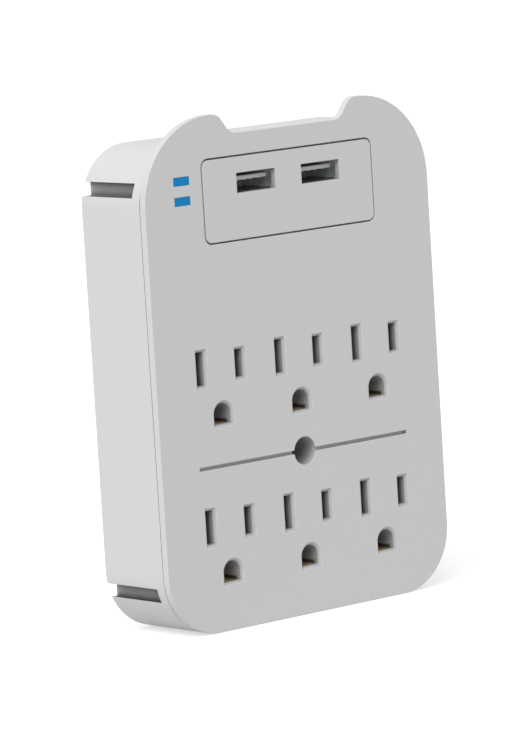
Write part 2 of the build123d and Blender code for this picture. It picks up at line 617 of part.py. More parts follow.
def earth_pin(z):
    """A round earth pin with a collar in the back wall and a rounded end, riveted through the earth bar."""
    r = EARTH_PIN_RADIUS
    root = r + EARTH_PIN_ROOT
    profile = [(0, INNER_BACK_Y), (root, INNER_BACK_Y), (root, 0), (r, 0), (r, EARTH_PIN_REACH - 0.9 * r),
               (0.75 * r, EARTH_PIN_REACH - 0.3 * r), (0.3 * r, EARTH_PIN_REACH), (0, EARTH_PIN_REACH)]
    pin = Pos(0, 0, z) * revolve(make_face(Polyline(*profile, close=True)), Axis.Y)
    return pin + plate(PIN_TENON, PIN_TENON, 0, z, INSULATOR_Y, INNER_BACK_Y)


# ---------------------------------------------------------------- screws
def mounting_screw():
    """Long captive screw: slotted pan head, plain shank, then the thread; at rest its head is on the seat."""
    slot_y = SCREW_SEAT_Y - SCREW_HEAD_HEIGHT
    head = rod(SCREW_HEAD_RADIUS, 0, 0, slot_y, SCREW_SEAT_Y)
    head = chamfer(head.edges().group_by(Axis.Y)[0], SCREW_CHAMFER)
    thread = rod(SCREW_RADIUS, 0, 0, THREAD_Y, SCREW_SEAT_Y + SCREW_LENGTH)
    thread = chamfer(thread.edges().group_by(Axis.Y)[-1], SCREW_CHAMFER)
    slot = plate(2 * SCREW_HEAD_RADIUS, SCREW_SLOT_WIDTH, 0, 0, slot_y, slot_y + SCREW_SLOT_DEPTH)
    return head + rod(SHANK_RADIUS, 0, 0, SCREW_SEAT_Y, THREAD_Y) + thread - slot


def retaining_washer():
    """The washer on the shank, at the thread's shoulder: it stops on the neck and keeps the screw in the case."""
    back_y = WASHER_Y + WASHER_THICKNESS
    return rod(WASHER_RADIUS, 0, 0, WASHER_Y, back_y) - rod(WASHER_BORE, 0, 0, WASHER_Y, back_y)


def case_screw(x, z):
    seat = -CASE_SCREW_SINK
    head = rod(CASE_SCREW_HEAD_RADIUS, x, z, seat, seat + CASE_SCREW_HEAD_HEIGHT)
    return head + rod(CASE_SCREW_RADIUS, x, z, seat - CASE_SCREW_LENGTH, seat)


# ---------------------------------------------------------------- USB side
def usb_shell(x):
    """The folded metal shell of a port, from the panel's pocket to the board."""
    front_y = FACE_Y + PORT_MOUTH_DEPTH + 0.1
    shell = slab(clipped(SHELL_WIDTH, SHELL_HEIGHT, SHELL_CORNER, x, PORT_Z), front_y, USB_BOARD_Y)
    inner = SHELL_WIDTH - 2 * SHELL_WALL, SHELL_HEIGHT - 2 * SHELL_WALL
    corner = SHELL_CORNER - 0.6 * SHELL_WALL
    return shell - slab(clipped(*inner, corner, x, PORT_Z), front_y, USB_BOARD_Y)


def usb_tongue(x):
    """The moulded tongue that carries a port's contacts, on its block at the back of the shell."""
    block_y = USB_BOARD_Y - PORT_BLOCK_DEPTH
    inner = SHELL_WIDTH - 2 * SHELL_WALL - 2 * MOULD_GAP, SHELL_HEIGHT - 2 * SHELL_WALL - 2 * MOULD_GAP
    block = slab(clipped(*inner, SHELL_CORNER, x, PORT_Z), block_y, USB_BOARD_Y)
    tongue_z = PORT_Z + TONGUE_RISE
    return block + plate(TONGUE_WIDTH, TONGUE_THICKNESS, x, tongue_z, FACE_Y + TONGUE_SETBACK, block_y)


def usb_contacts():
    """Four sprung contact strips under each tongue."""
    under = PORT_Z + TONGUE_RISE - TONGUE_THICKNESS / 2
    front_y, back_y = FACE_Y + TONGUE_SETBACK + CONTACT_SETBACK, USB_BOARD_Y - PORT_BLOCK_DEPTH
    low = under - CONTACT_SHEET
    profile = [(front_y, under), (back_y, under), (back_y, low),
               (front_y + CONTACT_BEND, low - CONTACT_BOW), (front_y, low)]
    strip = extrude(make_face(Plane.YZ * Polyline(*profile, close=True)), CONTACT_WIDTH / 2, both=True)
    return [Pos(port + offset, 0, 0) * strip for port in PORTS for offset in CONTACT_OFFSETS]


def usb_board():
    """The charger's board, with its corners cut and its sides relieved round the screw towers."""
    half = HALF_WIDTH - USB_BOARD_MARGIN
    back_y = USB_BOARD_Y + BOARD
    board = between(-half, half, USB_BOARD_BOTTOM, USB_BOARD_TOP, USB_BOARD_Y, back_y)
    board = chamfer(board.edges().filter_by(Axis.Y).group_by(Axis.Z)[-1], USB_BOARD_CORNER)
    board -= tower_reliefs(USB_BOARD_Y, back_y)
    return board - post_holes(USB_POSTS, USB_BOARD_Y, back_y)


def post_holes(posts, front_y, back_y):
    side = POST_PIN + 2 * POST_GAP
    return [plate(side, side, x, z, front_y, back_y) for x, z in posts]


def led_tip_y():
    return USB_BOARD_Y - LED_HEIGHT


def indicator_lamp(z):
    """A small lamp standing on the charger's board."""
    return rod(LED_RADIUS, LENS_X, z, led_tip_y(), USB_BOARD_Y)


def transformer_core():
    """Two E halves: yokes front and back, three legs between them."""
    front_y = USB_BOARD_Y - CORE_LENGTH
    core = Pos(TRANSFORMER_X, USB_BOARD_Y - CORE_LENGTH / 2, TRANSFORMER_Z) * Box(
        CORE_WIDTH, CORE_LENGTH, CORE_STACK
    )
    window = (CORE_WIDTH - CORE_LEG) / 2 - CORE_YOKE
    for side in (-1, 1):
        x = TRANSFORMER_X + side * (CORE_LEG + window) / 2
        core -= plate(window, CORE_STACK, x, TRANSFORMER_Z, front_y + CORE_YOKE, USB_BOARD_Y - CORE_YOKE)
    return core


def transformer_coil():
    """The taped winding round the middle leg."""
    front_y, back_y = USB_BOARD_Y - CORE_LENGTH + CORE_YOKE + COIL_GAP, USB_BOARD_Y - CORE_YOKE - COIL_GAP
    size = CORE_WIDTH - 2 * CORE_YOKE - 2 * COIL_GAP, CORE_STACK + 2 * COIL_PROUD
    coil = slab(clipped(*size, COIL_CORNER, TRANSFORMER_X, TRANSFORMER_Z), front_y, back_y)
    leg = CORE_LEG + 2 * COIL_GAP, CORE_STACK + 2 * COIL_GAP
    return coil - plate(*leg, TRANSFORMER_X, TRANSFORMER_Z, front_y, back_y)


def electrolytic(radius, length, x, z):
    """A can standing on the charger's board."""
    outline = Pos(x, z) * RegularPolygon(radius, ROUND_SIDES)
    return slab(outline, USB_BOARD_Y - length, USB_BOARD_Y)


def charger_chip():
    """A small controller with four legs a side."""
    x, z = CHIP_XZ
    width, thickness, length = CHIP_SIZE
    body_y = USB_BOARD_Y - CHIP_STANDOFF
    body = plate(width, length, x, z, body_y - thickness, body_y)
    out, across = CHIP_LEG
    for side in (-1, 1):
        for row in (-1.5, -0.5, 0.5, 1.5):
            leg_x, leg_z = x + side * (width + out) / 2, z + row * CHIP_PITCH
            body += plate(out, across, leg_x, leg_z, body_y - CHIP_STANDOFF, USB_BOARD_Y)
    return body


# ---------------------------------------------------------------- surge side
def surge_board():
    half = HALF_WIDTH - SURGE_BOARD_MARGIN
    back_y = SURGE_BOARD_Y + BOARD
    board = between(-half, half, SURGE_BOARD_BOTTOM, SURGE_BOARD_TOP, SURGE_BOARD_Y, back_y)
    return board - post_holes(SURGE_POSTS, SURGE_BOARD_Y, back_y)


def surge_middle():
    return (SURGE_BOARD_BOTTOM + SURGE_BOARD_TOP) / 2


def varistor(x):
    """A coated disc on edge, with its two flat leads in the board."""
    z = surge_middle()
    centre_y = SURGE_BOARD_Y - VARISTOR_STANDOFF - VARISTOR_RADIUS
    disc = Plane.YZ * (Pos(centre_y, z) * RegularPolygon(VARISTOR_RADIUS, ROUND_SIDES))
    body = Pos(x, 0, 0) * extrude(disc, VARISTOR_THICKNESS / 2, both=True)
    for side in (-1, 1):
        body += plate(LEAD, LEAD, x, z + side * LEAD_SPREAD / 2, centre_y, SURGE_BOARD_Y)
    return body


def varistors():
    return [varistor(VARISTOR_MIDDLE_X + step * VARISTOR_PITCH) for step in (-1, 0, 1)]


def thermal_fuse():
    """An axial cut-out beside the varistors, its leads bent back to the board."""
    z, y = surge_middle(), SURGE_BOARD_Y - FUSE_STANDOFF
    reach = FUSE_LENGTH / 2 + FUSE_LEAD_REACH
    points = [(SURGE_BOARD_Y, z - reach), (y, z - reach), (y, z + reach), (SURGE_BOARD_Y, z + reach)]
    can = Pos(FUSE_X, y, z - FUSE_LENGTH / 2) * extrude(RegularPolygon(FUSE_RADIUS, ROUND_SIDES), FUSE_LENGTH)
    return can + bent_strip(points, LEAD, LEAD, FUSE_X)


def line_capacitor():
    width, depth, height = FILM_CAPACITOR
    return plate(width, height, FILM_CAPACITOR_X, surge_middle(), SURGE_BOARD_Y - depth, SURGE_BOARD_Y)


def board_strap(x, z):
    """A strap with its feet on a live bar and on the surge board, arched clear of both between them."""
    bar_y, board_y = BUS_FRONT_Y - STRIP / 2, SURGE_BOARD_Y - STRIP / 2
    arch_y, far_z, half_foot = BUS_FRONT_Y - STRAP_ARCH, SURGE_BOARD_BOTTOM + STRAP_TO_BOARD, STRAP_FOOT / 2
    points = [(bar_y, z - half_foot), (bar_y, z + half_foot), (arch_y, z + 1.4 * half_foot),
              (arch_y, far_z - 1.4 * half_foot), (board_y, far_z - half_foot), (board_y, far_z + half_foot)]
    return bent_strip(points, STRAP_WIDTH, STRIP, x)


def line_strap():
    bar_z = ROWS[0] + PAD_HEIGHT / 2 + COMB_GAP + COMB_WIDTH / 2
    return board_strap(COLUMNS[0] + SLOT_OFFSET - STRAP_INSET, bar_z)


def neutral_strap():
    return board_strap(COLUMNS[0] - SLOT_OFFSET, RISER_TOP - COMB_WIDTH / 2)


def earth_wire():
    """A hook-up wire from the earth bar's riser to the surge board, each bend taken in two steps."""
    x, z = -(COLUMN_PITCH + EARTH_CLIP_BASE + EARTH_STRIP_END + EARTH_RISER_OUT), RISER_TOP - WIRE_START
    across, up = WIRE_RUN
    front_y, bend_y = SURGE_BOARD_Y - WIRE_STANDOFF, SURGE_BOARD_Y - WIRE_STANDOFF + WIRE_BEND
    step = Vector(across, 0, up).normalized() * WIRE_BEND
    path = Polyline(
        (x, INSULATOR_Y, z), (x, bend_y, z), (x + step.X, front_y, z + step.Z),
        (x + across - step.X, front_y, z + up - step.Z), (x + across, bend_y, z + up),
        (x + across, SURGE_BOARD_Y, z + up),
    )
    start = Plane(origin=path @ 0, z_dir=path % 0)
    return sweep(start * RegularPolygon(WIRE_RADIUS, WIRE_SIDES), path, transition=Transition.RIGHT)


def supply_pin(x):
    """A square pin bent between the surge board's front and the charger board's front."""
    front_y = USB_BOARD_Y - SUPPLY_ARCH
    low, high = surge_middle() + SUPPLY_FROM, USB_BOARD_BOTTOM + SUPPLY_TO
    points = [(SURGE_BOARD_Y, low), (front_y, low), (front_y, high), (USB_BOARD_Y, high)]
    return bent_strip(points, SUPPLY_PIN, SUPPLY_PIN, x)


# ---------------------------------------------------------------- the whole object
def group(pieces):
    """Several alike pieces as one sub-part of separate solids."""
    return Compound(children=[piece.solid() for piece in pieces])


def build():
    upper, lower = PLUG_ROWS
    earth_upper, earth_lower = PLUG_EARTH_ROWS
    left, right = PORTS
    x = SLOT_OFFSET
    return {
        "front_cover": front_cover(),
        "rear_housing": rear_housing(),
        "usb_panel": usb_panel(),
        "power_lens": indicator_lens(LENS_CENTRES_Z[0]),
        "surge_lens": indicator_lens(LENS_CENTRES_Z[1]),
        "power_lamp": indicator_lamp(LENS_CENTRES_Z[0]),
        "surge_lamp": indicator_lamp(LENS_CENTRES_Z[1]),
        "hot_bus": hot_bus(),
        "neutral_bus": neutral_bus(),
        "ground_bus": ground_bus(),
        "bus_insulator": bus_insulator(),
        "upper_hot_blade": plug_blade(HOT * x, upper, HOT_BLADE_HEIGHT),
        "upper_neutral_blade": plug_blade(NEUTRAL * x, upper, NEUTRAL_BLADE_HEIGHT),
        "upper_ground_pin": earth_pin(earth_upper),
        "lower_hot_blade": plug_blade(HOT * x, lower, HOT_BLADE_HEIGHT),
        "lower_neutral_blade": plug_blade(NEUTRAL * x, lower, NEUTRAL_BLADE_HEIGHT),
        "lower_ground_pin": earth_pin(earth_lower),
        "mounting_screw": mounting_screw(),
        "retaining_washer": retaining_washer(),
        "case_screws": group([case_screw(tx, tz) for tx, tz in TOWERS]),
        "usb_shell_left": usb_shell(left),
        "usb_shell_right": usb_shell(right),
        "usb_tongue_left": usb_tongue(left),
        "usb_tongue_right": usb_tongue(right),
        "usb_contacts": group(usb_contacts()),
        "usb_board": usb_board(),
        "transformer_core": transformer_core(),
        "transformer_coil": transformer_coil(),
        "input_capacitor": electrolytic(INPUT_CAN_RADIUS, INPUT_CAN_LENGTH, *INPUT_CAN_XZ),
        "output_capacitors": group(
            [electrolytic(OUTPUT_CAN_RADIUS, OUTPUT_CAN_LENGTH, cx, cz) for cx, cz in OUTPUT_CAN_XZ]
        ),
        "charger_chip": charger_chip(),
        "surge_board": surge_board(),
        "varistors": group(varistors()),
        "thermal_fuse": thermal_fuse(),
        "line_capacitor": line_capacitor(),
        "line_strap": line_strap(),
        "neutral_strap": neutral_strap(),
        "earth_wire": earth_wire(),
        "usb_supply_pins": group([supply_pin(pin_x) for pin_x in SUPPLY_PINS_X]),
    }


os.makedirs("parts", exist_ok=True)
for node, shape in build().items():
    export_step(shape, f"parts/{node}.step")
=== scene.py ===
import json
from math import cos, pi, radians, sin, tau

import bmesh
import bpy
from mathutils import Matrix, Vector

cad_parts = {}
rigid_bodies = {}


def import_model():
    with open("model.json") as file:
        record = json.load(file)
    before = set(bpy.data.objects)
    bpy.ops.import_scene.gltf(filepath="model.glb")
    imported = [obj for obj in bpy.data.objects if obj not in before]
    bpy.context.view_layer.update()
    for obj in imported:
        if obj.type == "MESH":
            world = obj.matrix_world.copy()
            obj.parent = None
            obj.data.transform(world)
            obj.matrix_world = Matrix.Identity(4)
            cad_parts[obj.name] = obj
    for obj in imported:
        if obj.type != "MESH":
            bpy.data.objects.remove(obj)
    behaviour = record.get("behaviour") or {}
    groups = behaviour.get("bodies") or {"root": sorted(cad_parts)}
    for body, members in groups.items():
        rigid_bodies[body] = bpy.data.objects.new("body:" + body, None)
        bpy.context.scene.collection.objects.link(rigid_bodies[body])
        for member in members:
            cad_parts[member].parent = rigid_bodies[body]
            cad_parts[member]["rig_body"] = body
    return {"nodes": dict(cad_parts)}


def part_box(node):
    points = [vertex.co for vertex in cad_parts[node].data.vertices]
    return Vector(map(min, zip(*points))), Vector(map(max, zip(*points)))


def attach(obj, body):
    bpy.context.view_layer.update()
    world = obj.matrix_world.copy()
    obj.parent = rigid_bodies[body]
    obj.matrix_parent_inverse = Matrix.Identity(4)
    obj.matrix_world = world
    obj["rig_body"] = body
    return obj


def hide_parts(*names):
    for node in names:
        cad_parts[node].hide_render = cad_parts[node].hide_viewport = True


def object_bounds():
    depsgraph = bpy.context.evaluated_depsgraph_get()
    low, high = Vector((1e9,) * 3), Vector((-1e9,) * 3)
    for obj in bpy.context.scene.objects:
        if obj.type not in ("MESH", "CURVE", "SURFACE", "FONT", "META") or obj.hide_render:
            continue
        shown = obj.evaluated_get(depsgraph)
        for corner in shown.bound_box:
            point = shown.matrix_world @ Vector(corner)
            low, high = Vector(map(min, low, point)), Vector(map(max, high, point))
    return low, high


# Plug-in surge protector: six outlets and two USB ports. Metres, in the CAD frame: X to the right as seen
# from the front, Y from the front into the wall, Z up, the origin on the mounting screw's axis.

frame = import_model()
nodes = frame["nodes"]
cad_box = [list(corner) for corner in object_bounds()]
scene = bpy.context.scene

# ---------------------------------------------------------------- sizes, in millimetres
MM = 0.001
CASE_DEPTH = 24.4
FACE_Y = -CASE_DEPTH
SEAM_Y = -22.4              # where the cover meets the housing
SLOT_COLLARS_Y = -20.8      # back of the collars round the blade slots
EARTH_COLLARS_Y = -17.4     # and round the earth holes
FLANGE_Y = -21.4            # back of the USB panel's flange
BACK_WALL_Y = -2.0          # front of the back wall

COLUMN_PITCH, ROW_PITCH, ROWS_MIDDLE = 26.0, 39.6, 4.96
ROWS_REACH = (-40, 40)      # all the outlets' holes, in Z
# Zones round an outlet's holes where shade is painted on the walls: across from the outlet's middle, and up
# from its blade slots' centre line.
SLOTS_ZONE = ((4.7, 13), (-5.2, 5.2))
EARTH_ZONE = ((-1, 3.6), (-15.5, -8.2))
# Where a shadow is painted on each earth hole's lowest wall.
FOOT_ZONE = ((-14.8, -13.8), 2.5)       # an earth hole's lowest wall; the last is a depth under the face
SOCKET_DEPTH = 4            # to the last stop of the sockets' curves
# Over which the painted shade on the housing's seam chamfer fades, in Y.
SEAM_SHADE_FADE = (SEAM_Y + 0.04, SEAM_Y + 0.2)

EDGE_MARGIN, EDGE_STEPS = 1.6, 3         # round pierced faces, in radii of their edges; and an edge's faces
SCREW_RADIUS, SCREW_PITCH = 1.75, 0.794
SHANK_RADIUS = 1.35
USB_BOARD_Y, SURGE_BOARD_Y = -9.4, -5.0
SURGE_PARTS_Z = 45.3

# ---------------------------------------------------------------- camera and light
SENSOR_HEIGHT = 24.0
FOCAL_LENGTH = 5176.7 / 735.0           # in picture heights
CAMERA_AT = (-850.52, -992.03, 183.61)
CAMERA_RIGHT = (0.74965864, -0.6589733, -0.06136866)
CAMERA_DOWN = (-0.12821396, -0.05363436, -0.99029518)
CAMERA_FORWARD = (0.64928661, 0.75025166, -0.12469704)

SKY_STRENGTH = 0.49
KEY_FROM, KEY_STRENGTH, KEY_SPREAD = (-0.64, -0.32, 0.70), 2.1, 50      # the spread is in degrees
FLOOR_COLOUR, FLOOR_GLOW = (0.62, 0.62, 0.62, 1), 0.6
FLOOR_REACH, FLOOR_GAP = 30, 0.00005    # in metres

# ---------------------------------------------------------------- finishes
# Colour, second tone, lowest and highest roughness, scale of the tones per metre, scale of the grain per
# metre and its height in micrometres, and how metallic it is.
WHITE = ((0.690, 0.690, 0.688), (0.675, 0.676, 0.674), (0.42, 0.52), 700, (4200, 7), 0.0)
BRASS = ((0.62, 0.45, 0.20), (0.55, 0.39, 0.17), (0.26, 0.40), 300, (2600, 3))
FINISHES = {
    "face_plastic": WHITE,
    "housing_plastic": WHITE,
    "panel_plastic": WHITE,
    "lens_plastic": ((0.005, 0.215, 0.50), (0.007, 0.23, 0.52), (0.42, 0.5), 500, (900, 3), 0.0),
    "lamp_resin": ((0.05, 0.30, 0.65), (0.06, 0.34, 0.70), (0.08, 0.14), 400, (900, 2), 0.0),
    "bar_brass": (*BRASS, 0.55),
    "blade_brass": ((0.56, 0.545, 0.52), (0.50, 0.485, 0.46), (0.22, 0.34), 260, (2600, 3), 1.0),
    "insulator_plastic": ((0.055, 0.055, 0.06), (0.045, 0.045, 0.05), (0.5, 0.6), 900, (3500, 6), 0.0),
    "screw_steel": ((0.58, 0.57, 0.54), (0.52, 0.51, 0.48), (0.24, 0.36), 400, (3000, 3), 1.0),
    "washer_fibre": ((0.30, 0.07, 0.04), (0.24, 0.055, 0.03), (0.7, 0.85), 1500, (5000, 15), 0.0),
    "case_screw_steel": ((0.50, 0.49, 0.47), (0.42, 0.41, 0.39), (0.28, 0.42), 500, (3000, 3), 1.0),
    # The port shell's bright colour shows deep inside the port as painted light; painted shade darkens it
    # near the mouth.
    "port_shell_steel": ((0.90, 0.95, 0.985), (0.87, 0.92, 0.955), (0.42, 0.55), 300, (2200, 2), 0.15),
    "tongue_plastic": ((0.74, 0.74, 0.735), (0.72, 0.72, 0.715), (0.38, 0.48), 900, (3500, 6), 0.0),
    "contact_brass": ((0.30, 0.27, 0.20), (0.26, 0.235, 0.175), (0.35, 0.45), 300, (2200, 2), 1.0),
    "board_laminate": ((0.02, 0.10, 0.045), (0.025, 0.12, 0.055), (0.3, 0.42), 1200, (4000, 8), 0.0),
    "surge_laminate": ((0.42, 0.30, 0.12), (0.37, 0.26, 0.10), (0.45, 0.6), 1200, (4000, 10), 0.0),
    "core_ferrite": ((0.035, 0.033, 0.033), (0.05, 0.047, 0.046), (0.5, 0.7), 1800, (5000, 14), 0.0),
    "coil_tape": ((0.62, 0.45, 0.03), (0.55, 0.40, 0.025), (0.3, 0.42), 400, (1200, 8), 0.0),
    "can_sleeve": ((0.02, 0.022, 0.03), (0.03, 0.032, 0.042), (0.25, 0.35), 600, (1500, 4), 0.0),
    "chip_resin": ((0.022, 0.022, 0.024), (0.03, 0.03, 0.032), (0.55, 0.7), 1600, (5000, 8), 0.0),
    "varistor_coating": ((0.03, 0.09, 0.28), (0.035, 0.11, 0.33), (0.3, 0.45), 900, (2500, 18), 0.0),
    "fuse_case": ((0.55, 0.52, 0.46), (0.48, 0.45, 0.40), (0.35, 0.5), 800, (2600, 6), 0.0),
    "film_case": ((0.55, 0.34, 0.05), (0.50, 0.30, 0.04), (0.35, 0.48), 900, (3000, 6), 0.0),
    "strap_brass": (*BRASS, 1.0),
    "wire_green": ((0.02, 0.22, 0.06), (0.018, 0.19, 0.05), (0.35, 0.45), 700, (2500, 5), 0.0),
    "pin_tin": ((0.66, 0.66, 0.65), (0.58, 0.58, 0.57), (0.25, 0.38), 500, (2600, 3), 1.0),
}
STRETCHES = {"blade_brass": (1, 0.25, 1), "port_shell_steel": (1, 0.2, 1)}       # tones drawn out along Y
# Painted shade: the colour in a recess as shares of the colour on the open surface, deep in it and in a
# shallow one, down the walls of the blade slots and the earth holes as (depth, share), on the chamfer where
# the housing meets the cover, and on the walls that face up. On the port shell the painted shade is heaviest
# near the mouth and absent deep inside, where its bright colour stands in for painted light.
PAINTED_RECESS_SHADE = {
    "face_plastic": {
        "deep": 0.52, "shallow": 0.78,
        "slots": ((0, 0.8), (0.4, 0.78), (0.9, 0.86), (1.5, 0.85), (2.2, 0.55), (2.8, 0.28), (4.0, 0.16)),
        "holes": ((0, 0.86), (0.4, 0.8), (1.2, 0.84), (4.0, 0.8))},
    "housing_plastic": {"deep": 0.1, "shallow": 0.12, "seam": 0.22},
    "panel_plastic": {"deep": 0.68, "shallow": 0.58},
    "port_shell_steel": {"deep": 1.0, "shallow": 0.048, "exposed": 0.016, "alone": False, "facing_up": 0.2},
    "tongue_plastic": {"deep": 0.6, "shallow": 0.85, "alone": False},
}
# The indicators glow faintly and hardly shine.
EXTRAS = {
    "lens_plastic": {"Emission Color": (0.004, 0.20, 0.50, 1), "Emission Strength": 0.14,
                     "Specular IOR Level": 0.12},
}
PAINTED_SHADE_REACH = 0.009        # in metres, how near a wall must stand to paint shade
IN_DEEP, IN_SHALLOW, IN_OPEN = 0.05, 0.5, 0.95      # shares of the surroundings that are open there
SOCKET_WALLS = (0.86, 0.97)             # and from where a socket's walls fade into the face
FOOT_SHADOW_SHARE = 0.16           # share of the colour left under the painted shadow on an earth hole's lowest wall
UP_SHADE_FADE = (0.3, 0.8)        # a normal's Z, from level to up, over which shade is painted on walls that face up


def maths(tree, operation, *values):
    """An operation on values, each a number or a socket."""
    node = tree.nodes.new("ShaderNodeMath")
    node.operation = operation
    for socket, value in zip(node.inputs, values):
        if isinstance(value, (int, float)):
            socket.default_value = value
        else:
            tree.links.new(value, socket)
    return node.outputs[0]


def camera():
    data = bpy.data.cameras.new("camera")
    data.sensor_fit = "VERTICAL"
    data.sensor_height = SENSOR_HEIGHT
    data.lens = SENSOR_HEIGHT * FOCAL_LENGTH
    data.clip_start, data.clip_end = 0.05, 60.0
    view = bpy.data.objects.new("camera", data)
    scene.collection.objects.link(view)
    right, down, forward = Vector(CAMERA_RIGHT), Vector(CAMERA_DOWN), Vector(CAMERA_FORWARD)
    turn = Matrix((right, -down, -forward)).transposed().to_4x4()
    view.matrix_world = Matrix.Translation(Vector(CAMERA_AT) * MM) @ turn
    scene.camera = view


def shader(name):
    """A new material with an empty node tree, and its output."""
    mat = bpy.data.materials.new(name)
    mat.use_nodes = True
    tree = mat.node_tree
    tree.nodes.clear()
    return mat, tree, tree.nodes.new("ShaderNodeOutputMaterial")


def seen_directly(tree):
    """1 for what the camera, a mirror or glass sees, and 0 for light that falls on the object."""
    path = tree.nodes.new("ShaderNodeLightPath")
    total = path.outputs["Is Camera Ray"]
    for other in ("Is Glossy Ray", "Is Transmission Ray"):
        total = maths(tree, "MAXIMUM", total, path.outputs[other])
    return total


def studio():
    """A white sky, dimmer as light than as it is seen, and one soft key light."""
    world = bpy.data.worlds.new("studio")
    scene.world = world
    world.use_nodes = True
    tree = world.node_tree
    tree.nodes.clear()
    out = tree.nodes.new("ShaderNodeOutputWorld")
    mix = tree.nodes.new("ShaderNodeMixShader")
    tree.links.new(seen_directly(tree), mix.inputs[0])
    for socket, strength in ((1, SKY_STRENGTH), (2, 1.0)):
        sky = tree.nodes.new("ShaderNodeBackground")
        sky.inputs["Color"].default_value = (1, 1, 1, 1)
        sky.inputs["Strength"].default_value = strength
        tree.links.new(sky.outputs[0], mix.inputs[socket])
    tree.links.new(mix.outputs[0], out.inputs[0])

    data = bpy.data.lights.new("key", "SUN")
    data.energy, data.angle = KEY_STRENGTH, radians(KEY_SPREAD)
    key = bpy.data.objects.new("key", data)
    scene.collection.objects.link(key)
    key.rotation_euler = Vector(KEY_FROM).to_track_quat("Z", "Y").to_euler()


def floor():
    """A pale floor just under the case, bright where it is seen and pale where it lights the object."""
    bm = bmesh.new()
    low, reach = cad_box[0][2] - FLOOR_GAP, FLOOR_REACH
    corners = [(-reach, -reach, low), (reach, -reach, low), (reach, reach, low), (-reach, reach, low)]
    bm.faces.new([bm.verts.new(corner) for corner in corners])
    ground = add_mesh("floor", bm)
    mat, tree, out = shader("pale_floor")
    matt, glow, both = (tree.nodes.new(kind) for kind in (
        "ShaderNodeBsdfDiffuse", "ShaderNodeEmission", "ShaderNodeAddShader"))
    matt.inputs["Color"].default_value = FLOOR_COLOUR
    glow.inputs["Color"].default_value = (1, 1, 1, 1)
    tree.links.new(maths(tree, "MULTIPLY", seen_directly(tree), FLOOR_GLOW), glow.inputs["Strength"])
    tree.links.new(matt.outputs[0], both.inputs[0])
    tree.links.new(glow.outputs[0], both.inputs[1])
    tree.links.new(both.outputs[0], out.inputs[0])
    ground.data.materials.append(mat)


# ---------------------------------------------------------------- materials
def noise(tree, where, scale, detail, rough=0.5):
    """A noise with so many features per metre."""
    tex = tree.nodes.new("ShaderNodeTexNoise")
    tex.inputs["Scale"].default_value = scale
    tex.inputs["Detail"].default_value = detail
    tex.inputs["Roughness"].default_value = rough
    tree.links.new(where, tex.inputs["Vector"])
    return tex.outputs["Fac"]


def spread(tree, value, low, high, start=0.3, end=0.7):
    """value, from start to end, mapped onto low to high."""
    node = tree.nodes.new("ShaderNodeMapRange")
    for socket, number in zip(node.inputs[1:5], (start, end, low, high)):
        socket.default_value = number
    tree.links.new(value, node.inputs[0])
    return node.outputs[0]


def ramp(tree, value, stops):
    """value through a ramp of (position, colour) stops."""
    node = tree.nodes.new("ShaderNodeValToRGB")
    for position, _ in stops[1:-1]:
        node.color_ramp.elements.new(position)
    for point, (position, colour) in zip(node.color_ramp.elements, stops):
        point.position = position
        point.color = (*colour, 1)
    tree.links.new(value, node.inputs[0])
    return node.outputs[0]


def graded(tree, value, stops):
    """value through a curve of (position, level) stops."""
    return ramp(tree, value, [(position, (level, level, level)) for position, level in stops])


def coordinate(tree, kind):
    """A point's object coordinates or its normal, in x, y and z."""
    parts = tree.nodes.new("ShaderNodeSeparateXYZ")
    tree.links.new(tree.nodes.new("ShaderNodeTexCoord").outputs[kind], parts.inputs[0])
    return parts.outputs


def inside(tree, value, reach, fade):
    """1 where value lies within reach (low and high, mm), falling to 0 over fade on either side."""
    low, high = reach
    above = spread(tree, value, 0, 1, (low - fade) * MM, low * MM)
    return maths(tree, "MINIMUM", above, spread(tree, value, 1, 0, high * MM, (high + fade) * MM))


def within(tree, zones, level):
    """level where all the zones are 1, and 1 outside them."""
    zone = zones[0]
    for other in zones[1:]:
        zone = maths(tree, "MINIMUM", zone, other)
    return maths(tree, "SUBTRACT", 1, maths(tree, "MULTIPLY", zone, maths(tree, "SUBTRACT", 1, level)))


def painted_shade_in_sockets(tree, share, open_share, slots, holes):
    """share, less by painted shade down the walls of the blade slots and the earth holes, by depth,
    and by a painted shadow on an earth hole's lowest wall.
    """
    x, y, z = coordinate(tree, "Object")
    half_column, half_row = COLUMN_PITCH / 2 * MM, ROW_PITCH / 2 * MM
    across = maths(tree, "ABSOLUTE", maths(tree, "WRAP", x, half_column, -half_column))
    from_upper_row = maths(tree, "SUBTRACT", z, ROWS_MIDDLE * MM + half_row)
    up = maths(tree, "WRAP", from_upper_row, half_row, -half_row)
    depth = spread(tree, y, 0, 1, FACE_Y * MM, (FACE_Y + SOCKET_DEPTH) * MM)
    walls = spread(tree, open_share, 1, 0, *SOCKET_WALLS)
    on_rows = inside(tree, z, ROWS_REACH, 1)
    in_slots = (inside(tree, across, SLOTS_ZONE[0], 0.4), inside(tree, up, SLOTS_ZONE[1], 0.8))
    in_holes = (inside(tree, across, EARTH_ZONE[0], 0.3), inside(tree, up, EARTH_ZONE[1], 0.3))
    foot_up, foot_depth = FOOT_ZONE
    at_foot = (inside(tree, up, foot_up, 0.5), inside(tree, y, (FACE_Y + foot_depth, 0), 0.9))
    slot_level, hole_level = (
        graded(tree, depth, [(below / SOCKET_DEPTH, part) for below, part in stops])
        for stops in (slots, holes))
    for zones, level in ((in_slots, slot_level), (in_holes, hole_level), (in_holes + at_foot, FOOT_SHADOW_SHARE)):
        share = maths(tree, "MULTIPLY", share, within(tree, (walls, on_rows) + zones, level))
    return share


